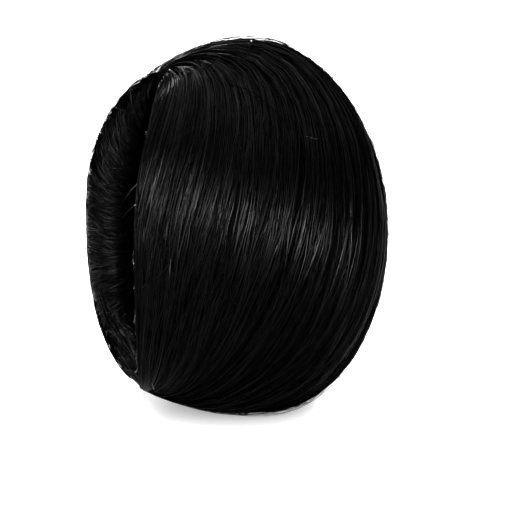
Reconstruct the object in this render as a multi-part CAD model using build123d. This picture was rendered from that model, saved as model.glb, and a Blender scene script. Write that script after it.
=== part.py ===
"""Claw clip hair bun: two halves of false hair, gathered above and below, on the jaws of a hidden claw.

Millimetres, +Z up. The bun stands on its lower edge, as it is put down on a table. X points from the
opening at its back out through the crown of its dome, and Y across its two halves. The origin is at
table level under the middle of the outline. Left and right are as seen by someone facing the dome.
"""
from build123d import *
import os
from collections import namedtuple
from math import acos, cos, degrees, pi, radians, sin, sqrt

# Outline of the hair
CROWN_REACH = 41.8  # from the bun's widest section out to the crown of the dome
BACK_REACH = 57.0  # from the widest section to where the closed form would end at the back
LOW_BACK_FILL = 12.0  # how much fuller the back is at the lower gather
BUN_WIDTH = 112.0  # across both halves
BUN_HEIGHT = 121.3  # before the hair is pressed flat where it stands
STANDING_FLAT = 3.2  # how far the hair is pressed in where it stands
GATHER_BACK = 34.4  # the two gathers lie this far behind the widest section
UPPER_LEAN = 0.09  # how far the upper gather leans to the front, as a share of its height
LEAN_ONSET = 3  # power of the height by which that lean sets in: more brings it nearer to the gather
EYE_RADIUS = 2.3  # the small eye left open in the middle of each gather
SEAM_GAP = 0.3  # between the two halves
RIM_TURN = 112.5  # degrees about the gather line from the crown round to each half's rim

# Wall of the hair
CROWN_WALL = 21.0
SIDE_WALL = 20.0
END_WALL = 14.0
HOLLOW_BEHIND = 10.8  # how far the form of the hollow runs on behind the gathers
RIM_WALL = 2.6  # the outer hair that lies over the roll
RIM_BAND = 21.0  # degrees of that thin rim

# Locks
LOCK_DEPTH = 1.5  # the cleft between two locks
LOCK_CRESTS = (0.36, 0.7)  # share of a lock's width at which its two crests lie
LOCK_SWAY = 1.6  # degrees that a cleft wanders to the side on its way down
SWAY_DOWN = 3  # waves of that wandering from the front of a turn over the top and back
SWAY_ROUND = 4  # waves of it once round the gather line
LOCK_TWIST = 16.0  # degrees that a lock leans from the rim above to the rim below its middle
LIFT_STEPS = 24

# Rolls of hair wound round the jaws
ROLL_WIDTH = 15.5
ROLL_BULK = 9.5
ROLL_SET_IN = 3.2  # middle of the roll inside the plane of the rim
ROLL_TOP = 74.0  # degrees above the middle at which the roll begins
ROLL_BOTTOM = -70.0  # degrees above the middle at which it ends
ROLL_CLEARANCE = 0.4
TANGENT_STEP = 0.5  # degrees to each side over which the rim's direction is taken
ROLL_WRAPS = 15  # bunches of hair wound side by side
WRAP_DEPTH = 0.07  # share of the section lost between two bunches
ROLL_SIDES = 14

# Claw
CLAW_CLEARANCE = 0.3
CLAW_WIDTH = 42.0
CLAW_LENGTH = 62.0
CLAW_WALL = 2.4
TOOTH_WIDTH = 5.0
TOOTH_COUNT = 6
TOOTH_TURN = 148.0  # degrees from the crown round to the tips of the teeth
ROOT_TURN = 62.0  # degrees over which the jaw is whole before it parts into teeth
BARREL_RADIUS = 4.2
BARREL_LENGTH = 22.0

# Locks from the seam on the dome to the rim, with their shares of the width and of the cleft's depth
Lock = namedtuple("Lock", "width cleft")
LOCKS_LEFT = (
    Lock(1.0, 0.7), Lock(0.7, 1.0), Lock(1.2, 0.8), Lock(0.9, 1.0), Lock(1.3, 0.6), Lock(0.8, 1.0),
    Lock(1.1, 0.7), Lock(0.7, 0.9), Lock(1.2, 1.0), Lock(0.9, 0.7), Lock(1.0, 0.9),
)
LOCKS_RIGHT = (
    Lock(0.8, 0.9), Lock(1.2, 0.7), Lock(0.9, 1.0), Lock(1.1, 0.8), Lock(0.7, 1.0), Lock(1.3, 0.7),
    Lock(0.9, 0.9), Lock(1.0, 0.6), Lock(0.8, 1.0), Lock(1.2, 0.8), Lock(0.9, 1.0),
)

# Stations along a roll, with their shares of the way down it, of its width and of its bulk
Station = namedtuple("Station", "down width bulk")
ROLL_STATIONS = (
    Station(0.0, 0.36, 0.36),
    Station(0.1, 0.66, 0.7),
    Station(0.28, 0.95, 0.96),
    Station(0.5, 1.0, 1.0),
    Station(0.72, 0.93, 0.96),
    Station(0.9, 0.62, 0.7),
    Station(1.0, 0.34, 0.36),
)

# A column of points from gather to gather
Column = namedtuple("Column", "turn cleft on_rim")


class Egg:
    """A closed form of two half ellipsoids that share their widest section, upright in X = middle."""

    def __init__(self, middle, front, back, half_width, half_height, low_fill=0):
        self.middle = middle
        self.front = front
        self.back = back
        self.low_fill = low_fill
        self.half_width = half_width
        self.half_height = half_height

    def reach(self, ray):
        """Distance from the middle of the gather line to the surface, along a unit ray."""
        start = -GATHER_BACK - self.middle
        for depth in (self.back + self.low_fill * min(0, ray.Z) ** 2, self.front):
            along = (ray.X / depth) ** 2 + (ray.Y / self.half_width) ** 2 + (ray.Z / self.half_height) ** 2
            across = start * ray.X / depth**2
            length = (sqrt(across**2 - along * ((start / depth) ** 2 - 1)) - across) / along
            if start + length * ray.X <= 0:
                break
        return length


def outer_form():
    return Egg(0, CROWN_REACH, BACK_REACH, (BUN_WIDTH - SEAM_GAP) / 2, BUN_HEIGHT / 2, LOW_BACK_FILL)


def hollow_form():
    front = CROWN_REACH - CROWN_WALL
    half_depth = (front + GATHER_BACK + HOLLOW_BEHIND) / 2
    half_width = (BUN_WIDTH - SEAM_GAP) / 2 - SIDE_WALL
    half_height = BUN_HEIGHT / 2 - END_WALL
    return Egg(front - half_depth, half_depth, half_depth, half_width, half_height)


def aim(turn, lift):
    """Unit ray from the middle of the gather line: turn about that line and lift above the level."""
    level = cos(radians(lift))
    up = sin(radians(lift))
    leaning = UPPER_LEAN * max(0, up) ** LEAN_ONSET
    return Vector(level * cos(radians(turn)) + leaning, level * sin(radians(turn)), up).normalized()


def from_gather(ray, length):
    return Vector(-GATHER_BACK, 0, 0) + ray * length


def highest_lift():
    """The lift at which a strand ends at the edge of the eye."""
    return degrees(acos(EYE_RADIUS / outer_form().reach(Vector(0, 0, 1))))


def roll_share(down, name):
    """Width or bulk share of the rolls at a share of the way down them, eased between stations."""
    for upper, lower in zip(ROLL_STATIONS, ROLL_STATIONS[1:]):
        if down <= lower.down:
            part = (1 - cos(pi * (down - upper.down) / (lower.down - upper.down))) / 2
            return getattr(upper, name) * (1 - part) + getattr(lower, name) * part


def table_level():
    return -BUN_HEIGHT / 2 + STANDING_FLAT


def lock_columns(locks):
    """The columns of one half: a cleft and the crests of each lock, from the seam round to the rim."""
    body_turn = RIM_TURN - RIM_BAND
    total = sum(lock.width for lock in locks)
    columns = []
    start = 0
    for lock in locks:
        span = body_turn * lock.width / total
        columns.append(Column(start, LOCK_DEPTH * lock.cleft, False))
        columns += [Column(start + span * crest, 0, False) for crest in LOCK_CRESTS]
        start += span
    columns.append(Column(body_turn, LOCK_DEPTH, True))
    columns += [Column(body_turn + RIM_BAND * crest, 0, True) for crest in LOCK_CRESTS]
    columns.append(Column(RIM_TURN, LOCK_DEPTH / 2, True))
    return columns


def lean(turn, lift):
    """Degrees by which a strand strays from its turn: locks lean to the rim below and wander a little."""
    free = sin(pi * turn / RIM_TURN)
    sway = LOCK_SWAY * cos(radians(lift)) * sin(radians(SWAY_DOWN * lift + SWAY_ROUND * turn))
    return free * (sway - LOCK_TWIST * sin(radians(lift)))


def hair_grids(locks):
    """Rows of outer and of inner points of one half, from the lower gather up to the upper one."""
    outer_egg = outer_form()
    hollow = hollow_form()
    columns = lock_columns(locks)
    top = highest_lift()
    outer = []
    inner = []
    for step in range(LIFT_STEPS + 1):
        lift = top * (2 * step / LIFT_STEPS - 1)
        room = sqrt(cos(radians(lift)))
        outer_row = []
        inner_row = []
        for column in columns:
            ray = aim(column.turn + lean(column.turn, lift), lift)
            skin = from_gather(ray, outer_egg.reach(ray) - column.cleft * room)
            outer_row.append(Vector(skin.X, skin.Y, max(skin.Z, table_level())))
            ray = aim(column.turn, lift)
            inner_reach = outer_egg.reach(ray) - RIM_WALL if column.on_rim else hollow.reach(ray)
            inner_row.append(from_gather(ray, inner_reach))
        outer.append(outer_row)
        inner.append(inner_row)
    return outer, inner


def solid_of(triangles):
    """A closed solid of flat triangles, turned so that its volume is positive."""
    solid = Solid(Shell([Face(Wire.make_polygon(corners)) for corners in triangles]))
    return solid if solid.volume > 0 else Solid(Shell([-face for face in solid.faces()]))


def strip(first, second):
    """Triangles between two rows of as many points."""
    found = []
    for a, b, c, d in zip(first, first[1:], second, second[1:]):
        found += [(a, b, d), (a, d, c)]
    return found


def outer_hair(side, locks):
    """One half of the outer hair: locks from gather to gather over a padded wall, thin at the rim."""
    outer, inner = hair_grids(locks)
    triangles = []
    for low, high in zip(outer, outer[1:]):
        triangles += strip(low, high)
    for low, high in zip(inner, inner[1:]):
        triangles += strip(low, high)
    for row in (0, -1):
        triangles += strip(outer[row], inner[row])
    for column in (0, -1):
        triangles += strip([row[column] for row in outer], [row[column] for row in inner])
    return set_beside_seam(triangles, side)


def set_beside_seam(triangles, side):
    """The solid of triangles drawn for the half on +Y, moved off the seam and put on its side."""
    return solid_of([[Vector(p.X, side * (p.Y + SEAM_GAP / 2), p.Z) for p in t] for t in triangles])


def rim_point(lift):
    ray = aim(RIM_TURN, lift)
    return from_gather(ray, outer_form().reach(ray))


def roll_section(down, squeeze):
    """Points round a roll, square to the rim, at a share of the way down it."""
    lift = ROLL_TOP + (ROLL_BOTTOM - ROLL_TOP) * down
    on_rim = rim_point(lift)
    along = (rim_point(lift - TANGENT_STEP) - rim_point(lift + TANGENT_STEP)).normalized()
    to_front = Vector(sin(radians(RIM_TURN)), -cos(radians(RIM_TURN)), 0)
    outward = to_front.cross(along)
    if outward.dot(on_rim - Vector(-GATHER_BACK, 0, 0)) < 0:
        outward = outward * -1
    half_width = ROLL_WIDTH / 2 * roll_share(down, "width")
    half_bulk = ROLL_BULK / 2 * roll_share(down, "bulk")
    set_in = ROLL_SET_IN * roll_share(down, "bulk")
    middle = on_rim - outward * (RIM_WALL + ROLL_CLEARANCE + half_width) + to_front * set_in
    points = []
    for side in range(ROLL_SIDES):
        angle = 2 * pi * side / ROLL_SIDES
        across = outward * half_width * cos(angle)
        points.append(middle + (across + to_front * half_bulk * sin(angle)) * squeeze)
    return points


def jaw_roll(side):
    """Hair wound crosswise round one jaw, in bunches side by side, just inside the rim."""
    steps = 2 * ROLL_WRAPS
    rings = []
    for step in range(steps + 1):
        ring = roll_section(step / steps, 1 if step % 2 else 1 - WRAP_DEPTH)
        rings.append(ring + ring[:1])
    triangles = []
    for upper, lower in zip(rings, rings[1:]):
        triangles += strip(upper, lower)
    for ring in (rings[0], rings[-1]):
        middle = sum(ring[1:], Vector()) / ROLL_SIDES
        triangles += [(middle, a, b) for a, b in zip(ring, ring[1:])]
    return set_beside_seam(triangles, side)


def claw_front():
    """X of the front of the jaws, whose ends rest against the hair of the crown."""
    hollow = hollow_form()
    narrowing = sqrt(1 - (CLAW_LENGTH / 2 / hollow.half_height) ** 2)
    return hollow.middle + hollow.front * narrowing - CLAW_CLEARANCE


def jaw_band(turn, height):
    """A curved plate of both jaws as seen from above, from the front round to a turn on each side."""
    radius = CLAW_WIDTH / 2
    centre = claw_front() - radius
    tips = [(centre + radius * cos(radians(a)), radius * sin(radians(a))) for a in (-turn, turn)]
    inner = radius - CLAW_WALL
    roots = [(centre + inner * cos(radians(a)), inner * sin(radians(a))) for a in (-turn, turn)]
    edge = ThreePointArc(tips[0], (centre + radius, 0), tips[1])
    edge += ThreePointArc(roots[0], (centre + inner, 0), roots[1])
    edge += [Line(tips[0], roots[0]), Line(tips[1], roots[1])]
    return extrude(make_face(edge), height / 2, both=True)


def claw_clip():
    """The hidden claw as one plain piece: a barrel and two curved jaws that part into teeth."""
    claw = jaw_band(ROOT_TURN, CLAW_LENGTH)
    pitch = (CLAW_LENGTH - TOOTH_WIDTH) / (TOOTH_COUNT - 1)
    for tooth in range(TOOTH_COUNT):
        height = tooth * pitch - (CLAW_LENGTH - TOOTH_WIDTH) / 2
        claw += Pos(0, 0, height) * jaw_band(TOOTH_TURN, TOOTH_WIDTH)
    barrel = claw_front() - CLAW_WALL + BARREL_RADIUS
    return claw + Pos(barrel, 0, 0) * Cylinder(BARREL_RADIUS, BARREL_LENGTH)


def build():
    """The pieces by name, standing on the table with the origin under the middle of the outline."""
    pieces = {
        "outer_hair_left": outer_hair(-1, LOCKS_LEFT),
        "outer_hair_right": outer_hair(1, LOCKS_RIGHT),
        "jaw_roll_left": jaw_roll(-1),
        "jaw_roll_right": jaw_roll(1),
        "claw_clip": claw_clip(),
    }
    boxes = [piece.bounding_box() for piece in pieces.values()]
    middle = (min(box.min.X for box in boxes) + max(box.max.X for box in boxes)) / 2
    return {name: Pos(-middle, 0, -table_level()) * piece for name, piece in pieces.items()}


if __name__ == "__main__":
    os.makedirs("parts", exist_ok=True)
    for name, piece in build().items():
        export_step(piece, f"parts/{name}.step")
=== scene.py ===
"""Dresses the claw clip hair bun in strands of black hair, over its CAD pieces, and sets its stage.

The file is laid out as an add-on and is run as a script. The hair is worked out in millimetres on the bun's
own lines, where X = 0 is its widest section and Z = 0 its middle height, and to_scene puts it on the frame.
"""
from collections import namedtuple

import bpy
import numpy as np
from bpy.props import FloatProperty, FloatVectorProperty, IntProperty, PointerProperty
from mathutils import Matrix, Vector


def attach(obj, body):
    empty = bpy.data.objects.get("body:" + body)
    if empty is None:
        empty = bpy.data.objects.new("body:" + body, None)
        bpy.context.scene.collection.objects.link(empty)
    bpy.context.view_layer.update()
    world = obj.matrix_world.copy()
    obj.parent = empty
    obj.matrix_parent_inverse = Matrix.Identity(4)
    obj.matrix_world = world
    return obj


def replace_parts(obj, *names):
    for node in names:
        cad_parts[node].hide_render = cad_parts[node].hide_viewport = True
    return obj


bl_info = {
    "name": "Claw Clip Hair Bun",
    "version": (1, 0, 0),
    "blender": (4, 5, 0),
    "location": "View3D > Sidebar > Hair Bun",
    "description": "Grows the strands of a claw clip hair bun over its solid pieces and sets a plain stage",
    "category": "Object",
}

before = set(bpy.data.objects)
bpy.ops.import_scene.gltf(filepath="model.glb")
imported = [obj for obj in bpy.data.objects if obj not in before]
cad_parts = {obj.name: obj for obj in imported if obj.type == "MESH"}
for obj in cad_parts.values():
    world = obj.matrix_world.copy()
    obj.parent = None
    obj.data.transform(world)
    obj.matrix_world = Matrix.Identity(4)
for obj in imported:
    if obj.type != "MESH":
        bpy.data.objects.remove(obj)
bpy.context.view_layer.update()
MM = 0.001

# Outline of the hair, as in the solid model. Lengths are in millimetres and angles in degrees.
CROWN_REACH = 41.8
BACK_REACH = 57.0
LOW_BACK_FILL = 12.0
BUN_WIDTH = 112.0
BUN_HEIGHT = 121.3
STANDING_FLAT = 3.2
GATHER_BACK = 34.4
UPPER_LEAN = 0.09  # how far the upper gather leans to the front, as a share of its distance
LEAN_ONSET = 3  # power of the height by which that lean sets in
LOWER_LEAN = 0.06  # how far the lower gather's strands are drawn to the back, as a share of its distance
LOWER_ONSET = 6
RIM_TURN = 112.5
TABLE_LEVEL = -BUN_HEIGHT / 2 + STANDING_FLAT
TABLE_CLEARANCE = 0.2  # least height of a guide above the table
BUN_FORWARD = 2.64  # the bun's widest section lies this far in front of the frame's middle

# Run of the strands
SWIRL = 45.0  # degrees by which a strand winds about the upper gather for each e-fold of nearness to it
SWIRL_POLE = 91.0  # lift of the middle of that winding
SWIRL_EASE = 0.1  # how much less it winds for each degree of lift
SWIRL_TURN = 135.0  # turn at which a strand wouldn't wind at all: those near a rim run over it on their way
SWIRL_MARGIN = 0.01  # how near to that turn a strand may start
TOP_LIFT = 87.6  # degrees above the middle at which a strand reaches the eye of its gather
UPPER_PUFF = 1.8  # how far the strands stand up round the upper gather
UPPER_PUFF_SPAN = 14.0  # degrees of lift over which they do
EYE_TURN, EYE_LIFT = -94.0, 83.5  # where the strands dive into the eye of the upper gather
EYE_DEPTH = 1.7
EYE_REACH = 4.4
WANDER_WAVES = 3  # waves that a lock's stray is made of
WANDER_RATES = (1.2, 7)
ASIDE = 0.5  # degrees to each side between which a width or a direction is measured
TAILS = ((0.6, 2.0), (0.3, 5.5))  # steps by which a strand enters an eye: share of the way out, and depth

# Mass of hair under the strands, in metres
HALF_SUNK = 0.9 * MM  # how far each half is drawn in under its strands
ROLL_SUNK = 0.3 * MM
SEAM_WALL = 0.3 * MM  # how near the middle plane the halves' facing walls lie
WELD_REACH = 0.01 * MM

# Rolls of hair round the jaws
ROLL_WIDTH = 15.5
ROLL_BULK = 9.5

LEFT, RIGHT = -1, 1

# A way round a roll, as shares of the roll's width outwards and of its bulk to the front
Turn = namedtuple("Turn", "outward front")
ROLL_TURN = (
    Turn(-0.05, 0.45),
    Turn(-0.02, 0.12),
    Turn(-0.05, -0.07),
    Turn(-0.18, -0.15),
    Turn(-0.38, -0.19),
    Turn(-0.6, -0.2),
    Turn(-0.82, -0.15),
    Turn(-1.02, -0.02),
    Turn(-1.14, 0.22),
    Turn(-1.12, 0.5),
    Turn(-0.98, 0.74),
)

# How the roll changes from its upper end down: lift, shares of width and bulk, how far the strands climb
# towards the inner side of the roll, and the share of its swelling behind the rim that they show
RollStation = namedtuple("RollStation", "lift width bulk climb behind")
ROLL_STATIONS = (
    RollStation(84.0, 0.16, 0.16, -12.0, 0.3),
    RollStation(74.0, 0.4, 0.4, -26.0, 0.3),
    RollStation(60.0, 0.72, 0.74, -28.0, 0.3),
    RollStation(42.0, 0.95, 0.96, -20.0, 0.3),
    RollStation(24.0, 1.0, 1.0, -9.0, 0.35),
    RollStation(6.0, 1.0, 1.0, -1.0, 0.5),
    RollStation(-20.0, 0.98, 1.0, 4.0, 0.6),
    RollStation(-42.0, 0.86, 0.9, 9.0, 0.6),
    RollStation(-60.0, 0.6, 0.66, 6.0, 0.6),
    RollStation(-74.0, 0.34, 0.36, -4.0, 0.6),
)

ROLL_CREASE = 14.0  # lift at which each roll is drawn in
ROLL_CREASE_DEPTH = 0.22
ROLL_CREASE_SPAN = 1.8
ROLL_BOW = 3  # how far a strand bows on its way round
ROLL_LEVEL = 0.3  # share of the way round at which a strand is at its own lift
ROLL_BULK_CHANCE = (0.9, 1.06)
ROLL_MIDDLE = (0.6, 0.28)  # middle of the roll, as shares of its width inwards and of its bulk to the front

# Steps of a lock from gather to gather, closer together where it winds
LOCK_LIFTS = np.concatenate((
    np.linspace(-TOP_LIFT, 50, 26), SWIRL_POLE - np.geomspace(SWIRL_POLE - 54, SWIRL_POLE - TOP_LIFT, 11)))
FREE_POINTS = 16  # points of a loose strand
FREE_ROUNDING = 3  # times that its corners are rounded off
FREE_FACING = (-0.3, -0.95, 0.1)
BULGE = np.sin(np.pi * np.linspace(0, 1, FREE_POINTS))  # how far a loose strand stands off, as a share


class Value:
    """A number carried by a node's output, so that sums on it are written as plain Python."""

    def __init__(self, nodes, socket):
        self.nodes = nodes
        self.socket = socket

    def __add__(self, other):
        return self.nodes.maths("ADD", self, other)

    def __sub__(self, other):
        return self.nodes.maths("SUBTRACT", self, other)

    def __rsub__(self, other):
        return self.nodes.maths("SUBTRACT", other, self)

    def __mul__(self, other):
        return self.nodes.maths("MULTIPLY", self, other)

    def __lt__(self, other):
        return self.nodes.maths("LESS_THAN", self, other)

    __radd__ = __add__
    __rmul__ = __mul__


class Nodes:
    """Adds nodes to one tree. A node takes its settings, and then the values or links of its sockets."""

    def __init__(self, tree):
        self.tree = tree

    def add(self, kind, settings=None, inputs=None):
        node = self.tree.nodes.new(kind)
        for name, value in (settings or {}).items():
            if name == "stops":
                for place, (position, colour) in enumerate(value):
                    ramp = node.color_ramp.elements
                    stop = ramp[place] if place < len(ramp) else ramp.new(position)
                    stop.position = position
                    stop.color = colour
            else:
                setattr(node, name, value)
        for key, value in (inputs or {}).items():
            self.feed(node.inputs[key], value)
        return node

    def feed(self, socket, value):
        if isinstance(value, Value):
            value = value.socket
        if isinstance(value, bpy.types.NodeSocket):
            self.tree.links.new(value, socket)
        else:
            socket.default_value = value

    def out(self, kind, settings=None, inputs=None, output=0):
        return Value(self, self.add(kind, settings, inputs).outputs[output])

    def maths(self, operation, *values):
        return self.out("ShaderNodeMath", {"operation": operation}, dict(enumerate(values)))

    def vector(self, operation, *values, scale=None):
        inputs = dict(enumerate(values))
        if scale is not None:
            inputs["Scale"] = scale
        return self.out("ShaderNodeVectorMath", {"operation": operation}, inputs)

    def xyz(self, x=0.0, y=0.0, z=0.0):
        return self.out("ShaderNodeCombineXYZ", None, {0: x, 1: y, 2: z})


def unit(vectors):
    return vectors / np.linalg.norm(vectors, axis=-1, keepdims=True)


def to_scene(points):
    """Points as drawn, in metres on the frame."""
    return (points + (BUN_FORWARD, 0, -TABLE_LEVEL)) * MM


def reach(ray):
    """Distance from the middle of the gather line to the outer form, along unit rays."""
    x, y, z = np.moveaxis(ray, -1, 0)

    def length(depth):
        along = (x / depth) ** 2 + (y / (BUN_WIDTH / 2)) ** 2 + (z / (BUN_HEIGHT / 2)) ** 2
        across = -GATHER_BACK * x / depth**2
        return (np.sqrt(across**2 - along * ((GATHER_BACK / depth) ** 2 - 1)) - across) / along

    back = length(BACK_REACH + LOW_BACK_FILL * np.minimum(0, z) ** 2)
    return np.where(back * x <= GATHER_BACK, back, length(CROWN_REACH))


def leaning(up):
    """How far to the front the gather line leans at a share of its height."""
    return UPPER_LEAN * np.maximum(0, up) ** LEAN_ONSET - LOWER_LEAN * np.maximum(0, -up) ** LOWER_ONSET


def aim(turn, lift):
    """Unit rays from the middle of the gather line, at a turn about it and a lift above the level."""
    turn, lift = np.radians(turn), np.radians(lift)
    level, up = np.cos(lift), np.sin(lift)
    forward = level * np.cos(turn) + leaning(up)
    return unit(np.stack([forward, level * np.sin(turn), up + 0 * turn], -1))


def swirl(turn, lift, way=1):
    """Where a strand lies round the gather line at a lift, from where it lies at middle height.

    The strands wind out of the upper gather, less so towards the two rims. Way -1 goes back.
    """
    wound = SWIRL * np.log(SWIRL_POLE / (SWIRL_POLE - lift)) - SWIRL_EASE * lift
    quarter = 90 / SWIRL_TURN
    free = np.clip(turn, SWIRL_MARGIN - SWIRL_TURN, SWIRL_TURN - SWIRL_MARGIN)
    start = np.arcsinh(np.tan(np.radians(free * quarter)))
    return np.degrees(np.arctan(np.sinh(start + way * np.radians(wound * quarter)))) / quarter


def skin(turn, lift, depth):
    """Points at a depth under the outer form, kept above the table."""
    ray = aim(turn, lift)
    points = ray * (reach(ray) - depth)[..., None] + (-GATHER_BACK, 0, 0)
    points[..., 2] = np.maximum(points[..., 2], TABLE_LEVEL + TABLE_CLEARANCE)
    return points


def wander(random, lift, amount):
    """A smooth random stray along a lock, in degrees, that dies out at the gathers."""
    way = np.radians(lift)
    waves = [way * random.uniform(*WANDER_RATES) + random.uniform(0, 2 * np.pi) for _ in range(WANDER_WAVES)]
    return amount * sum(np.sin(wave) for wave in waves) * np.cos(way)


Guide = namedtuple("Guide", "points spread out")


def strand_guide(random, turn, lift, depth, stray, span):
    """A line on the run of the hair through some lifts, with its width to each side."""
    turns = turn + wander(random, lift, stray)
    placed = np.clip(swirl(turns, lift), -RIM_TURN, RIM_TURN)
    eye = skin(np.array(EYE_TURN), np.array(EYE_LIFT), 0.0)
    from_eye = np.linalg.norm(skin(placed, lift, 0 * lift) - eye, axis=-1)
    depth = depth + EYE_DEPTH * np.exp(-((from_eye / EYE_REACH) ** 2))
    left, right = (skin(swirl(turns + step, lift), lift, depth) for step in (-ASIDE, ASIDE))
    return Guide(to_scene(skin(placed, lift, depth)), (right - left) * span * MM, aim(placed, lift))


def lock_guide(random, turn, depth, stray, span):
    """A lock's middle line from the eye of the lower gather to that of the upper one."""
    near_pole = np.exp(-(((SWIRL_POLE - LOCK_LIFTS) / UPPER_PUFF_SPAN) ** 2))
    puff = UPPER_PUFF * random.uniform(0, 1) * near_pole
    return with_tails(strand_guide(random, turn, LOCK_LIFTS, depth - puff, stray, span))


def with_tails(guide):
    """A guide with both its ends led on into the eyes of the gathers."""
    points, spread, out = guide
    narrow, deep = np.array(TAILS).T[:, :, None]
    tails = []
    for end, pole in ((0, -90.0), (-1, 90.0)):
        eye = to_scene(skin(np.array(0.0), np.array(pole), 0.0))
        tails.append(eye + (points[end] - eye) * narrow - np.sign(pole) * deep * np.array((0, 0, MM)))
    low, high = tails
    return Guide(
        np.vstack((low[::-1], points, high)),
        np.vstack((spread[0] * narrow[::-1], spread, spread[-1] * narrow)),
        np.vstack((out[:1], out[:1], out, out[-1:], out[-1:])))


def narrow_spread(width):
    """The spread of a loose strand, the same at all its points."""
    return np.tile((width * MM, 0, width * MM), (FREE_POINTS, 1))


def free_guide(points, width):
    """A stray strand through a few points in millimetres, rounded off between them."""
    points = np.array(points, float)
    steps = np.linspace(0, len(points) - 1, FREE_POINTS)
    corners = np.arange(len(points))
    line = np.stack([np.interp(steps, corners, axis) for axis in points.T], -1)
    for _ in range(FREE_ROUNDING):
        line[1:-1] = (line[:-2] + 2 * line[1:-1] + line[2:]) / 4
    return Guide(to_scene(line), narrow_spread(width), unit(np.tile(FREE_FACING, (FREE_POINTS, 1))))


def guide_mesh(name, guides):
    """The guides as chains of edges that carry each point's spread and outward direction."""
    points = np.concatenate([guide.points for guide in guides])
    edges = []
    start = 0
    for guide in guides:
        count = len(guide.points)
        edges += [(start + i, start + i + 1) for i in range(count - 1)]
        start += count
    mesh = bpy.data.meshes.new(name)
    mesh.from_pydata(points.tolist(), edges, [])
    for field in ("spread", "out"):
        values = np.concatenate([getattr(guide, field) for guide in guides]).astype(np.float32)
        mesh.attributes.new(field, "FLOAT_VECTOR", "POINT").data.foreach_set("vector", values.ravel())
    return mesh


STRAND_CLEARANCE = 0.15 * MM  # least height of a strand above the table
EDGE_SHADE = 0.7  # how much less gloss the strands at a lock's edges have, as painted shade between the locks
GLOSS_DRIFT = 0.45  # how much the gloss changes along a strand
LOOSE_CHANCE = (0.3, 1.0)

STRAND_INPUTS = (
    ("Guides", "NodeSocketGeometry", None),
    ("Strands", "NodeSocketInt", 30),
    ("Width", "NodeSocketFloat", 0.2 * MM),
    ("Crown", "NodeSocketFloat", 0.5 * MM),
    ("Frizz", "NodeSocketFloat", 0.15 * MM),
    ("Stray", "NodeSocketFloat", 0.45),
    ("Waves", "NodeSocketFloat", 11.0),
    ("Tilt", "NodeSocketFloat", 0.85),
    ("Loose Share", "NodeSocketFloat", 0.04),
    ("Loose Lift", "NodeSocketFloat", 0.8 * MM),
    ("Seed", "NodeSocketInt", 1),
    ("Hair", "NodeSocketMaterial", None),
)


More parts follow.
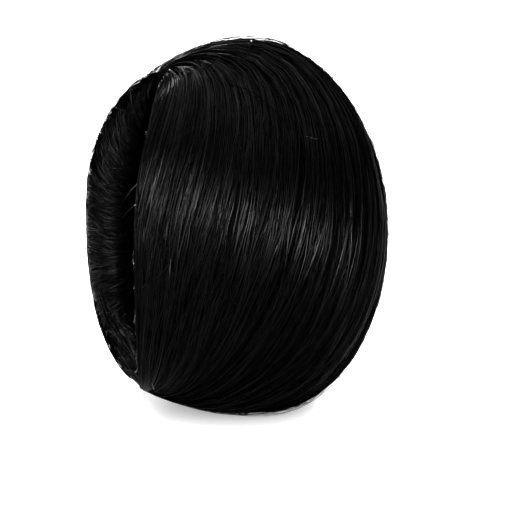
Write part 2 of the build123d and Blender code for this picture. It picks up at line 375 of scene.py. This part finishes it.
def strand_tree():
    """Geometry Nodes that fan each guide out into a lock of flat strands, each turned at random."""
    tree = bpy.data.node_groups.new("hair_strands", "GeometryNodeTree")
    for name, kind, default in STRAND_INPUTS:
        socket = tree.interface.new_socket(name, in_out="INPUT", socket_type=kind)
        if default is not None:
            socket.default_value = default
    tree.interface.new_socket("Strands", in_out="OUTPUT", socket_type="NodeSocketGeometry")
    nodes = Nodes(tree)
    given = nodes.add("NodeGroupInput").outputs

    def chance(low, high, salt):
        """A number drawn once for each strand."""
        seed = nodes.maths("ADD", given["Seed"], salt)
        strand = nodes.out("GeometryNodeCurveOfPoint")
        return nodes.out("FunctionNodeRandomValue", None, {2: low, 3: high, 7: strand, 8: seed}, 1)

    def drift(salt):
        """Smooth noise along each strand, from about -1 to 1."""
        along = nodes.out("GeometryNodeSplineParameter") * given["Waves"]
        place = nodes.xyz(along, chance(0.0, 900.0, salt), 0.0)
        return nodes.out("ShaderNodeTexNoise", None, {"Vector": place, "Scale": 1.0, "Detail": 2.0}) * 4 - 2

    lines = nodes.out("GeometryNodeMeshToCurve", None, {0: given["Guides"]})
    amount = {0: lines, "Amount": given["Strands"]}
    copies = nodes.out("GeometryNodeDuplicateElements", {"domain": "SPLINE"}, amount)
    spread = nodes.out("GeometryNodeInputNamedAttribute", {"data_type": "FLOAT_VECTOR"}, {0: "spread"})
    out = nodes.out("GeometryNodeInputNamedAttribute", {"data_type": "FLOAT_VECTOR"}, {0: "out"})
    beside = chance(-1.0, 1.0, 1)
    sideways = nodes.vector("SCALE", spread, scale=beside + drift(2) * given["Stray"])
    arched = nodes.maths("SINE", nodes.out("GeometryNodeSplineParameter") * np.pi)
    let_loose = chance(0.0, 1.0, 3) < given["Loose Share"]
    loose = let_loose * given["Loose Lift"] * arched * chance(*LOOSE_CHANCE, 4)
    rise = drift(5) * given["Frizz"] * arched + loose - beside * beside * given["Crown"]
    offset = nodes.vector("ADD", sideways, nodes.vector("SCALE", out, scale=rise))
    moved = nodes.vector("ADD", nodes.out("GeometryNodeInputPosition"), offset)
    parts = nodes.add("ShaderNodeSeparateXYZ", None, {0: moved}).outputs
    above_table = nodes.xyz(parts[0], parts[1], nodes.maths("MAXIMUM", parts[2], STRAND_CLEARANCE))
    placed = nodes.out("GeometryNodeSetPosition", None, {0: copies, "Position": above_table})
    faced = nodes.out("GeometryNodeSetCurveNormal", {"mode": "FREE"}, {0: placed, "Normal": out})
    tilt = chance(-1.0, 1.0, 6) * given["Tilt"]
    shaded = nodes.out("GeometryNodeSetCurveTilt", None, {0: faced, "Tilt": tilt})
    # Less gloss towards a lock's edges: painted shade where the locks meet
    edge_shade = 1 - beside * beside * EDGE_SHADE
    shade = chance(0.0, 1.0, 7)
    gloss = (drift(8) * GLOSS_DRIFT + chance(0.0, 1.0, 9)) * edge_shade
    for field, value in (("shade", shade), ("gloss", gloss)):
        shaded = nodes.out(
            "GeometryNodeStoreNamedAttribute", {"data_type": "FLOAT", "domain": "POINT"},
            {0: shaded, "Name": field, "Value": value})
    start, end = (nodes.xyz(y=nodes.maths("MULTIPLY", given["Width"], side)) for side in (-0.5, 0.5))
    profile = nodes.out("GeometryNodeCurvePrimitiveLine", None, {"Start": start, "End": end})
    ribbon = nodes.out("GeometryNodeCurveToMesh", None, {0: shaded, "Profile Curve": profile})
    smooth = nodes.out("GeometryNodeSetShadeSmooth", None, {0: ribbon})
    whole = nodes.out("GeometryNodeRealizeInstances", None, {0: smooth})
    dressed = nodes.out("GeometryNodeSetMaterial", None, {0: whole, "Material": given["Hair"]})
    nodes.add("NodeGroupOutput", None, {0: dressed})
    return tree


def linked(name, data):
    """A new object in the scene."""
    thing = bpy.data.objects.new(name, data)
    bpy.context.scene.collection.objects.link(thing)
    return thing


def plain_mesh(source):
    """The mesh that an object's modifiers make. The object itself goes."""
    mesh = bpy.data.meshes.new_from_object(source.evaluated_get(bpy.context.evaluated_depsgraph_get()))
    bpy.data.objects.remove(source)
    return mesh


def grown(name, guides, material, **sizes):
    """A plain mesh of strands grown along guides."""
    tree = bpy.data.node_groups.get("hair_strands") or strand_tree()
    source = linked(name + "_guides", guide_mesh(name + "_guides", guides))
    modifier = source.modifiers.new("Strands", "NODES")
    modifier.node_group = tree
    sizes["Hair"] = material
    for item in tree.interface.items_tree:
        if item.in_out == "INPUT" and item.name in sizes:
            modifier[item.identifier] = sizes[item.name]
    return added(name, plain_mesh(source))


def added(name, mesh):
    """A finished mesh as a piece that moves with the bun."""
    mesh.name = name
    piece = linked(name, mesh)
    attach(piece, "root")
    return piece


def roll_share(lift, name):
    """A column of the roll's stations at these lifts."""
    lifts = [station.lift for station in reversed(ROLL_STATIONS)]
    return np.interp(lift, lifts, [getattr(station, name) for station in reversed(ROLL_STATIONS)])


def rim(lift, side):
    """Points on the rim of a half."""
    ray = aim(side * RIM_TURN + 0 * lift, lift)
    return ray * reach(ray)[..., None] + (-GATHER_BACK, 0, 0)


def roll_guide(random, lift, span, side, slant, part=(0.0, 1.0), lifted=0.0):
    """One way round a roll, from under the skin at the rim across to its inner side, or a part of it."""
    way = np.linspace(*part, len(ROLL_TURN))
    whole = np.linspace(0, 1, len(ROLL_TURN))
    bow = random.uniform(-ROLL_BOW, ROLL_BOW) * np.sin(np.pi * way)
    lifts = lift + (roll_share(lift, "climb") + slant) * (way - ROLL_LEVEL) + bow
    on_rim = rim(lifts, side)
    along = unit(rim(lifts + ASIDE, side) - rim(lifts - ASIDE, side))
    round_rim = np.radians(RIM_TURN)
    to_front = np.array((np.sin(round_rim), -side * np.cos(round_rim), 0))
    outward = np.cross(along, to_front)
    outward *= np.sign(np.sum(outward * (on_rim + (GATHER_BACK, 0, 0)), -1))[:, None]
    crease = 1 - ROLL_CREASE_DEPTH * np.exp(-(((lifts - ROLL_CREASE) / ROLL_CREASE_SPAN) ** 2))
    width = ROLL_WIDTH * roll_share(lifts, "width")
    bulk = ROLL_BULK * roll_share(lifts, "bulk") * random.uniform(*ROLL_BULK_CHANCE) * crease
    out, front = (np.interp(way, whole, column) for column in np.array(ROLL_TURN).T)
    behind = np.where((front < 0) & (side == LEFT), roll_share(lifts, "behind"), 1)
    inwards, forwards = ROLL_MIDDLE
    middle = on_rim - outward * (inwards * width)[:, None] + to_front * (forwards * bulk)[:, None]
    points = on_rim + outward * (out * width)[:, None] + to_front * (front * behind * bulk)[:, None]
    points += unit(points - middle) * (lifted * np.sin(np.pi * whole))[:, None]
    return Guide(to_scene(points), along * span * MM, unit(points - middle))


def mesh_points(mesh):
    points = np.empty(len(mesh.vertices) * 3)
    mesh.vertices.foreach_get("co", points)
    return points.reshape(-1, 3)


def attribute_place(mesh):
    """Stores where each point lies on the run of the hair: round the gather line, along it and inwards."""
    points = mesh_points(mesh) / MM + (-BUN_FORWARD + GATHER_BACK, 0, TABLE_LEVEL)
    length = np.linalg.norm(points, axis=1)
    up = points[:, 2] / length
    lift = np.clip(np.degrees(np.arcsin(up)), -TOP_LIFT, TOP_LIFT)
    forward = points[:, 0] - length * leaning(up)
    turn = swirl(np.degrees(np.arctan2(points[:, 1], forward)), lift, -1)
    place = np.stack([turn, lift, length], -1).astype(np.float32)
    mesh.attributes.new("place", "FLOAT_VECTOR", "POINT").data.foreach_set("vector", place.ravel())


def close_seam(mesh, sunk):
    """Brings the wall along the seam, which was drawn in with the rest, back to the seam."""
    points = mesh_points(mesh)
    points[np.abs(points[:, 1]) < sunk + SEAM_WALL, 1] = 0
    mesh.vertices.foreach_set("co", points.ravel())
    mesh.update()


def core(node, name, material, sunk):
    """The body of hair under the strands: a smooth copy of a solid, drawn in a little."""
    source = linked(name + "_source", bpy.data.objects[node].data.copy())
    weld = source.modifiers.new("Weld", "WELD")
    weld.merge_threshold = WELD_REACH
    smooth = source.modifiers.new("Smooth", "SUBSURF")
    smooth.levels = smooth.render_levels = 1
    draw_in = source.modifiers.new("Draw in", "DISPLACE")
    draw_in.strength = -sunk
    draw_in.mid_level = 0
    made = plain_mesh(source)
    made.materials.clear()
    made.materials.append(material)
    made.shade_smooth()
    close_seam(made, sunk)
    attribute_place(made)
    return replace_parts(added(name, made), node)


def new_material(name):
    material = bpy.data.materials.new(name)
    material.use_nodes = True
    material.node_tree.nodes.clear()
    return material, Nodes(material.node_tree)


def finish_material(nodes, shader_inputs, height=None, strength=0.0, distance=0.0):
    if height is not None:
        relief = {"Height": height, "Strength": strength, "Distance": distance}
        shader_inputs["Normal"] = nodes.out("ShaderNodeBump", None, relief)
    shader = nodes.out("ShaderNodeBsdfPrincipled", None, shader_inputs)
    nodes.add("ShaderNodeOutputMaterial", None, {"Surface": shader})


def toned(colour, share):
    """A colour made lighter or darker, with its alpha."""
    return [c * share for c in colour] + [1]


def blend(nodes, share, *stops):
    """A ramp of colours over a share."""
    return nodes.out("ShaderNodeValToRGB", {"stops": stops}, {0: share})


def strand_material(colour):
    """Glossy synthetic fibre: each strand a little lighter, darker or duller than the next, and less glossy
    towards a lock's edges as painted shade between the locks.
    """
    material, nodes = new_material("black_hair_strands")
    shade = nodes.out("ShaderNodeAttribute", {"attribute_name": "shade"}, None, 2)
    gloss = nodes.out("ShaderNodeAttribute", {"attribute_name": "gloss"}, None, 2)
    sheen = nodes.out("ShaderNodeMapRange", None, {0: gloss, 1: 0.0, 2: 1.1, 3: 0.15, 4: 1.0})
    finish_material(nodes, {
        "Base Color": blend(nodes, shade, (0.0, toned(colour, 0.4)), (1.0, toned(colour, 1.6))),
        "Roughness": 0.42 + shade * 0.16,
        "Specular IOR Level": 0.0,
        "Coat Weight": sheen,
        "Coat Roughness": 0.3,
        "Coat IOR": 1.08,
    })
    return material


def core_material(colour):
    """The mass of hair seen between the strands: fine streaks along the locks."""
    material, nodes = new_material("black_hair_mass")
    place = nodes.out("ShaderNodeAttribute", {"attribute_name": "place"}, None, 1)
    streaks = nodes.out("ShaderNodeMapping", None, {"Vector": place, "Scale": (3.2, 0.05, 0.4)})
    fine = {"Vector": streaks, "Scale": 1.0, "Detail": 4.0, "Roughness": 0.65}
    strands = nodes.out("ShaderNodeTexNoise", None, fine)
    finish_material(nodes, {
        "Base Color": blend(nodes, strands, (0.35, toned(colour, 0.25)), (0.7, toned(colour, 0.9))),
        "Roughness": 0.45 + strands * 0.3,
        "Specular IOR Level": 0.01,
    }, strands, 0.8, 0.3 * MM)
    return material


def claw_material(colour):
    """Moulded plastic with a faint grain and duller patches."""
    material, nodes = new_material("claw_plastic")
    place = nodes.out("ShaderNodeTexCoord", None, None, 3)
    grain = nodes.out("ShaderNodeTexNoise", None, {"Vector": place, "Scale": 2400.0, "Detail": 3.0})
    patches = nodes.out("ShaderNodeTexNoise", None, {"Vector": place, "Scale": 90.0, "Detail": 2.0})
    finish_material(nodes, {
        "Base Color": blend(nodes, patches, (0.3, toned(colour, 0.8)), (0.7, toned(colour, 1.3))),
        "Roughness": 0.45 + patches * 0.2,
        "Specular IOR Level": 0.06,
    }, grain, 0.15, 0.05 * MM)
    return material


def floor_material(colour, glow):
    """A pale floor with a little glow of its own, so that the shadow on it stays pale."""
    material, nodes = new_material("pale_floor")
    finish_material(nodes, {
        "Base Color": (*colour, 1), "Roughness": 0.9, "Specular IOR Level": 0.1,
        "Emission Color": (1, 1, 1, 1), "Emission Strength": glow})
    return material


class HairBunLooks(bpy.types.PropertyGroup):
    hair_colour: FloatVectorProperty(
        name="Hair colour", description="Colour of the strands", subtype="COLOR",
        default=(0.0006, 0.00057, 0.00057))
    strand_width: FloatProperty(
        name="Strand width", description="Width of one drawn strand", unit="LENGTH", default=0.16 * MM)
    frizz: FloatProperty(
        name="Frizz", description="How far the strands wander in and out", unit="LENGTH", default=0.12 * MM)
    seed: IntProperty(name="Seed", description="Changes how the strands fall", default=5)


class HairBunStage(bpy.types.PropertyGroup):
    floor_colour: FloatVectorProperty(
        name="Floor colour", description="Colour of the plain floor", subtype="COLOR",
        default=(0.75, 0.75, 0.75))
    floor_glow: FloatProperty(
        name="Floor glow", description="Light that the floor gives by itself", default=0.36)
    sheen_power: FloatProperty(
        name="Sheen power", description="Power of the front light that makes the band of sheen", unit="POWER",
        default=150.0)
    side_power: FloatProperty(
        name="Side power", description="Power of the light beside the bun and of the one behind it",
        unit="POWER", default=95.0)
    top_power: FloatProperty(
        name="Top power", description="Power of the soft top light", unit="POWER", default=115.0)
    front_power: FloatProperty(
        name="Front power", description="Power of the soft light on the floor in front", unit="POWER",
        default=22.0)
    surround: FloatProperty(name="Surround", description="Light that comes from all round", default=1.6)


# The hair of a half, in layers: its locks and the strands of each, how deep they lie and by how much that
# varies, how far a lock strays, its half width, how much lower its edges lie, and how far strands spill over
# them as a share of that half width
Layer = namedtuple("Layer", "name locks strands depth depth_range stray span crown spill")
LAYERS = (
    Layer("under", 60, 34, 1.0, 0.35, 0.5, 1.3, 0.35, 0.5),
    Layer("over", 146, 16, 0.25, 0.45, 0.7, 0.5, 0.3, 1.1),
)

LAST_TURN = 130.0  # turn of the last lock, which lies along the rim until it winds away from it
LOCK_PLACES = (0.1, 0.9)  # where a lock lies in its own share of the half
LOCK_SPANS = (0.6, 1.4)

# Bunches of hair round each roll, down to where loose loops take their place. Pairs are ranges to draw from.
ROLL_END = -61.0
ROLL_BUNCHES = 25
ROLL_BUNCH_GUIDES = 3
ROLL_STRANDS = 42
BUNCH_SLANTS = (-9, 9)
BUNCH_SHIFTS = (-2.8, 2.8)
BUNCH_SPANS = (0.9, 2.2)
BUNCH_WIDTH, BUNCH_FRIZZ = 1.3, 1.2  # times those of the strands of the locks

# Strands that leave their bunch and cross the others for part of the way round
ROLL_STRAYS = 46
STRAY_STRANDS = 3
STRAY_STARTS = (0.1, 0.6)
STRAY_PARTS = (0.25, 0.5)
STRAY_SLANTS = (-55, 55)
STRAY_STANDS = (0.4, 1.3)
STRAY_SPAN = 0.8
STRAY_FRIZZ = 2

# Loose strands, as turns and lifts that they pass through: turns above 0 are on the right half
FLYAWAYS = (
    ((0.0, 60.0), (0.5, 64.5), (-7.0, 64.5), (-30.0, 65.0)),
    ((-53.5, 63.0), (-52.0, 54.5), (-51.0, 41.5)),
    ((-68.5, 63.5), (-68.5, 55.5)),
    ((-110.5, -13.0), (-106.0, -6.0), (-101.5, -3.0), (-96.5, 4.0)),
    ((-77.0, -2.5), (-77.5, -8.0), (-74.0, -10.5)),
    ((-48.0, 35.5), (-46.0, 33.0)),
    ((31.5, 73.0), (-4.5, 76.5)),
)
FLYAWAY_ROOT = 0.2  # depth at which one starts
FLYAWAY_STAND = 1.2
FLYAWAY_WIDTH = 2.2  # times as wide as the strands of the locks

# Hairs that cross the opening, as lifts on the far and on the near rim, with steps from those and from midway
SLOT_HAIRS = ((12.0, 42.0), (3.0, 32.0))
SLOT_FAR = (7.5, -16, 0)
SLOT_NEAR = (0.3, 0.5, 0)
SLOT_MIDWAY = (0, 0, 0.6)

# Strands of three looser kinds. Pairs are ranges to draw from.
WISPS = 300
WISP_MIDDLES = (-75, 75)
WISP_REACHES = (12, 38)  # lift that one covers to each side of its middle
WISP_LOWEST, WISP_HIGHEST = -80, 82
WISP_DEPTH = 0.7  # how deep its two ends lie
WISP_STANDS = (0.4, 1.5)
WISP_STRAY = 0.8
WISP_SPAN = 0.9

# Sets of strands along the far rim: lift where they start, lifts above or below the level where they end, and
# how far they stand clear of the hair under them
ArchSet = namedtuple("ArchSet", "start ends stand")
ARCH_SETS = (
    ArchSet(84, (38, 60), 1.7),
    ArchSet(-84, (20, 50), 2.8),
)
ARCHES = 26
ARCH_TURN = 100
ARCH_DEPTH = 0.5
ARCH_SHARES = (0.4, 1)  # how much of its stand one takes
ARCH_SPREAD = 0.3

LOOPS = 52
LOOP_POINTS = 9
LOOP_LIFTS = (-76, -42)
LOOP_PLACES = (0.2, 0.9)  # share of the way from the far rim to the near one
LOOP_FORWARD = (0, 3)
LOOP_SIZES = (1.2, 3.4)
LOOP_STRETCHES = (0.8, 2.2)  # times as tall as wide
LOOP_TURNS = (0.5, 1.6)
LOOP_SPREAD = 0.4
LOOP_WIDTH = 1.6  # times as wide as the strands of the locks

# Keep the draws of one kind of strand apart from those of another
ROLL_DRAWS, LOOSE_DRAWS = 9, 77
BUNCH_SEED, STRAY_SEED, LOOSE_SEED = 40, 60, 80

CLAW_COLOUR = (0.008, 0.008, 0.0082)


class HAIRBUN_OT_outer_hair(bpy.types.Operator):
    """Grow the two halves of the outer hair"""

    bl_idname = "hairbun.outer_hair"
    bl_label = "Outer Hair"

    def execute(self, context):
        looks = context.scene.hairbun_looks
        strands = strand_material(looks.hair_colour)
        mass = core_material(looks.hair_colour)
        for side, half in ((LEFT, "left"), (RIGHT, "right")):
            core("outer_hair_" + half, "hair_mass_" + half, mass, HALF_SUNK)
            for number, layer in enumerate(LAYERS):
                random = np.random.default_rng([looks.seed, side + 1, number])
                steps = np.arange(layer.locks) + random.uniform(*LOCK_PLACES, layer.locks)
                guides = [
                    lock_guide(
                        random, side * LAST_TURN * step / layer.locks,
                        layer.depth + layer.depth_range * random.uniform(-1, 1), layer.stray,
                        layer.span * random.uniform(*LOCK_SPANS))
                    for step in steps
                ]
                grown(
                    f"hair_{half}_{layer.name}", guides, strands,
                    Strands=layer.strands, Width=looks.strand_width, Frizz=looks.frizz,
                    Crown=layer.crown * MM, Stray=layer.spill, Seed=looks.seed + 10 * number + side)
        return {"FINISHED"}


class HAIRBUN_OT_jaw_rolls(bpy.types.Operator):
    """Wind the hair round the two jaws"""

    bl_idname = "hairbun.jaw_rolls"
    bl_label = "Jaw Rolls"

    def execute(self, context):
        looks = context.scene.hairbun_looks
        strands = bpy.data.materials["black_hair_strands"]
        mass = bpy.data.materials["black_hair_mass"]
        lifts = [station.lift for station in ROLL_STATIONS]
        for side, half in ((LEFT, "left"), (RIGHT, "right")):
            core("jaw_roll_" + half, "roll_mass_" + half, mass, ROLL_SUNK)
            random = np.random.default_rng([looks.seed, side + 1, ROLL_DRAWS])
            guides = []
            for step in np.linspace(lifts[0], ROLL_END, ROLL_BUNCHES):
                slant = random.uniform(*BUNCH_SLANTS)
                for _ in range(ROLL_BUNCH_GUIDES):
                    lift = step + random.uniform(*BUNCH_SHIFTS)
                    guides.append(roll_guide(random, lift, random.uniform(*BUNCH_SPANS), side, slant))
            grown(
                f"roll_{half}_strands", guides, strands, Strands=ROLL_STRANDS, Waves=5.0, Crown=0.5 * MM,
                Width=looks.strand_width * BUNCH_WIDTH, Frizz=looks.frizz * BUNCH_FRIZZ,
                Seed=looks.seed + BUNCH_SEED + side)
            guides = []
            for _ in range(ROLL_STRAYS):
                start = random.uniform(*STRAY_STARTS)
                lift, slant = random.uniform(ROLL_END, lifts[1]), random.uniform(*STRAY_SLANTS)
                part = (start, start + random.uniform(*STRAY_PARTS))
                stand = random.uniform(*STRAY_STANDS)
                guides.append(roll_guide(random, lift, STRAY_SPAN, side, slant, part, stand))
            grown(
                f"roll_{half}_strays", guides, strands, Strands=STRAY_STRANDS, Waves=3.0,
                Width=looks.strand_width, Frizz=looks.frizz * STRAY_FRIZZ,
                Seed=looks.seed + STRAY_SEED + side)
        return {"FINISHED"}


def wisp(random):
    """A strand that stands off the hair for part of its way."""
    middle, half = random.uniform(*WISP_MIDDLES), random.uniform(*WISP_REACHES)
    lift = np.linspace(max(middle - half, WISP_LOWEST), min(middle + half, WISP_HIGHEST), FREE_POINTS)
    depth = WISP_DEPTH - (WISP_DEPTH + random.uniform(*WISP_STANDS)) * BULGE
    return strand_guide(random, random.uniform(-RIM_TURN, RIM_TURN), lift, depth, WISP_STRAY, WISP_SPAN)


def arch(random, start, ends, stand):
    """A strand along the far rim that stands clear of the hair between its ends."""
    lift = np.linspace(start, np.sign(start) * random.uniform(*ends), FREE_POINTS)
    turn = random.uniform(ARCH_TURN, RIM_TURN) + 0 * lift
    depth = ARCH_DEPTH - random.uniform(*ARCH_SHARES) * stand * BULGE**0.5
    return Guide(to_scene(skin(turn, lift, depth)), narrow_spread(ARCH_SPREAD), aim(turn, lift))


def flyaway(turns_and_lifts):
    """A stray strand on top of the hair, through given turns and lifts."""
    turn, lift = np.array(turns_and_lifts).T
    depth = np.full(len(turn), -FLYAWAY_STAND)
    depth[0] = FLYAWAY_ROOT
    return free_guide(skin(turn, lift, depth), 0.0)


def loop(random):
    """A loose strand that curls in the hollow above the lower gather."""
    lift = np.array([random.uniform(*LOOP_LIFTS)])
    far, near = rim(lift, RIGHT)[0], rim(lift, LEFT)[0]
    middle = far + (near - far) * random.uniform(*LOOP_PLACES) + (random.uniform(*LOOP_FORWARD), 0, 0)
    across, along = unit(near - far), unit(rim(lift + 1, RIGHT)[0] - far)
    wide = random.uniform(*LOOP_SIZES)
    tall = wide * random.uniform(*LOOP_STRETCHES)
    phase, turns = random.uniform(0, 2 * np.pi), random.uniform(*LOOP_TURNS)
    points = []
    for share in np.linspace(0, 1, LOOP_POINTS):
        angle = phase + 2 * np.pi * turns * share
        growth = 1 + abs(share - 0.5)
        curl = across * np.cos(angle) * wide + along * np.sin(angle) * tall + (np.cos(angle + 1), 0, 0)
        points.append(middle + curl * growth)
    return free_guide(points, LOOP_SPREAD)


def slot_hair(far_lift, near_lift):
    """A hair that crosses the opening from the far roll to the near rim."""
    near = rim(np.array([near_lift]), LEFT)[0]
    far = rim(np.array([far_lift]), RIGHT)[0] + SLOT_FAR
    return free_guide((far, (near + far) / 2 + SLOT_MIDWAY, near + SLOT_NEAR), 0.0)


class HAIRBUN_OT_strays(bpy.types.Operator):
    """Add the stray hairs, the arches along the far rim and the loops at the lower gather"""

    bl_idname = "hairbun.strays"
    bl_label = "Stray Hairs"

    def execute(self, context):
        looks = context.scene.hairbun_looks
        strands = bpy.data.materials["black_hair_strands"]
        random = np.random.default_rng([looks.seed, LOOSE_DRAWS])
        wisps = [wisp(random) for _ in range(WISPS)]
        arches = [arch(random, *arch_set) for arch_set in ARCH_SETS for _ in range(ARCHES)]
        loops = [loop(random) for _ in range(LOOPS)]
        single = [flyaway(row) for row in FLYAWAYS] + [slot_hair(*lifts) for lifts in SLOT_HAIRS]
        kinds = (
            ("hair_wisps", wisps, 2, 1.0),
            ("hair_arches", arches, 4, 1.0),
            ("hair_loops", loops, 2, LOOP_WIDTH),
            ("hair_flyaways", single, 1, FLYAWAY_WIDTH),
        )
        for number, (name, guides, count, width) in enumerate(kinds):
            grown(
                name, guides, strands, Strands=count, Width=looks.strand_width * width, Crown=0.0,
                Frizz=looks.frizz, Seed=looks.seed + LOOSE_SEED + number)
        return {"FINISHED"}


class HAIRBUN_OT_claw(bpy.types.Operator):
    """Finish the hidden claw"""

    bl_idname = "hairbun.claw"
    bl_label = "Claw"

    def execute(self, context):
        claw = bpy.data.objects["claw_clip"]
        claw.data.materials.clear()
        claw.data.materials.append(claw_material(CLAW_COLOUR))
        return {"FINISHED"}


# The soft lights, in metres: which power each takes, its width and height, its place, what it points at, and
# whether matt and glossy surfaces show it
Light = namedtuple("Light", "name power size place aim_at diffuse glossy")
LIGHTS = (
    Light("sheen_light", "sheen_power", (0.5, 0.26), (0.05, -0.98, 0.23), (0, 0, 0.06), False, True),
    Light("side_light", "side_power", (0.8, 0.8), (-0.95, -0.25, 0.4), (-0.03, 0, 0.06), False, True),
    Light("back_light", "side_power", (0.5, 0.4), (-0.1, 1.0, 0.45), (0, 0, 0.06), False, True),
    Light("top_light", "top_power", (1.8, 2.0), (0.15, 0.1, 1.25), (0, 0, 0.06), True, True),
    Light("front_light", "front_power", (1.4, 1.0), (0, -1.3, 1.1), (0, -0.05, 0), True, False),
)
FLOOR_REACH = 12.0  # from the floor's middle to its sides, in metres


def soft_light(light, power):
    data = bpy.data.lights.new(light.name, "AREA")
    data.energy = power
    data.shape = "RECTANGLE"
    data.size, data.size_y = light.size
    lamp = linked(light.name, data)
    lamp.location = light.place
    lamp.rotation_mode = "QUATERNION"
    lamp.rotation_quaternion = (Vector(light.aim_at) - Vector(light.place)).to_track_quat("-Z", "Y")
    lamp.visible_diffuse = light.diffuse
    lamp.visible_glossy = light.glossy


# How the photograph was taken
VIEW_AZIMUTH = -16.5  # degrees; 0 looks along +Y
VIEW_ELEVATION = 16.0
VIEW_ROLL = 0.5  # degrees that the bun is turned anticlockwise in the picture
VIEW_DISTANCE = 1200.0
PIXELS_PER_MM = 3.11  # at the bun's own middle
IMAGE_SIZE = 512
MIDDLE_PIXEL = (253, 226)  # where the bun's own middle lies in the picture
SENSOR_WIDTH = 36.0
NEAREST, FARTHEST = 0.1, 30.0  # that the camera shows, in metres


def photo_camera():
    azimuth, elevation, roll = np.radians([VIEW_AZIMUTH, VIEW_ELEVATION, VIEW_ROLL])
    level = np.cos(elevation)
    look = Vector((-np.sin(azimuth) * level, np.cos(azimuth) * level, -np.sin(elevation)))
    right = Vector((np.cos(azimuth), np.sin(azimuth), 0))
    up = right.cross(look)
    turned_right = right * np.cos(roll) - up * np.sin(roll)
    turned_up = turned_right.cross(look)
    middle = Vector((BUN_FORWARD, 0, -TABLE_LEVEL)) * MM
    data = bpy.data.cameras.new("camera")
    data.sensor_width = SENSOR_WIDTH
    data.lens = PIXELS_PER_MM * VIEW_DISTANCE / IMAGE_SIZE * SENSOR_WIDTH
    data.shift_x = (IMAGE_SIZE / 2 - MIDDLE_PIXEL[0]) / IMAGE_SIZE
    data.shift_y = (MIDDLE_PIXEL[1] - IMAGE_SIZE / 2) / IMAGE_SIZE
    data.clip_start, data.clip_end = NEAREST, FARTHEST
    camera = linked("camera", data)
    rows = Matrix((turned_right, turned_up, -look)).transposed()
    camera.matrix_world = Matrix.Translation(middle - look * VIEW_DISTANCE * MM) @ rows.to_4x4()
    bpy.context.scene.camera = camera


class HAIRBUN_OT_stage(bpy.types.Operator):
    """Set the floor, the soft lights and the camera"""

    bl_idname = "hairbun.stage"
    bl_label = "Stage"

    def execute(self, context):
        stage = context.scene.hairbun_stage
        mesh = bpy.data.meshes.new("floor")
        corners = [(x * FLOOR_REACH, y * FLOOR_REACH, 0) for x, y in ((-1, -1), (1, -1), (1, 1), (-1, 1))]
        mesh.from_pydata(corners, [], [(0, 1, 2, 3)])
        mesh.materials.append(floor_material(stage.floor_colour, stage.floor_glow))
        floor = linked("floor", mesh)
        for light in LIGHTS:
            soft_light(light, getattr(stage, light.power))
        world = bpy.data.worlds.new("surround")
        context.scene.world = world
        world.cycles_visibility.glossy = False
        world.use_nodes = True
        background = world.node_tree.nodes["Background"]
        background.inputs["Color"].default_value = (1, 1, 1, 1)
        background.inputs["Strength"].default_value = stage.surround
        context.scene.view_settings.view_transform = "Standard"
        photo_camera()
        return {"FINISHED"}


class HAIRBUN_PT_panel(bpy.types.Panel):
    """Lists the steps that dress the bun"""

    bl_label = "Hair Bun"
    bl_idname = "HAIRBUN_PT_panel"
    bl_space_type = "VIEW_3D"
    bl_region_type = "UI"
    bl_category = "Hair Bun"

    def draw(self, context):
        for group in (context.scene.hairbun_looks, context.scene.hairbun_stage):
            for name in group.__annotations__:
                self.layout.prop(group, name)
        for operator in OPERATORS:
            self.layout.operator(operator.bl_idname)


OPERATORS = (
    HAIRBUN_OT_outer_hair,
    HAIRBUN_OT_jaw_rolls,
    HAIRBUN_OT_strays,
    HAIRBUN_OT_claw,
    HAIRBUN_OT_stage,
)
CLASSES = (HairBunLooks, HairBunStage, *OPERATORS, HAIRBUN_PT_panel)


def register():
    for kind in CLASSES:
        bpy.utils.register_class(kind)
    bpy.types.Scene.hairbun_looks = PointerProperty(type=HairBunLooks)
    bpy.types.Scene.hairbun_stage = PointerProperty(type=HairBunStage)


def unregister():
    del bpy.types.Scene.hairbun_stage
    del bpy.types.Scene.hairbun_looks
    for kind in reversed(CLASSES):
        bpy.utils.unregister_class(kind)


def main():
    register()
    bpy.ops.hairbun.outer_hair()
    bpy.ops.hairbun.jaw_rolls()
    bpy.ops.hairbun.strays()
    bpy.ops.hairbun.claw()
    bpy.ops.hairbun.stage()


if __name__ == "__main__":
    main()
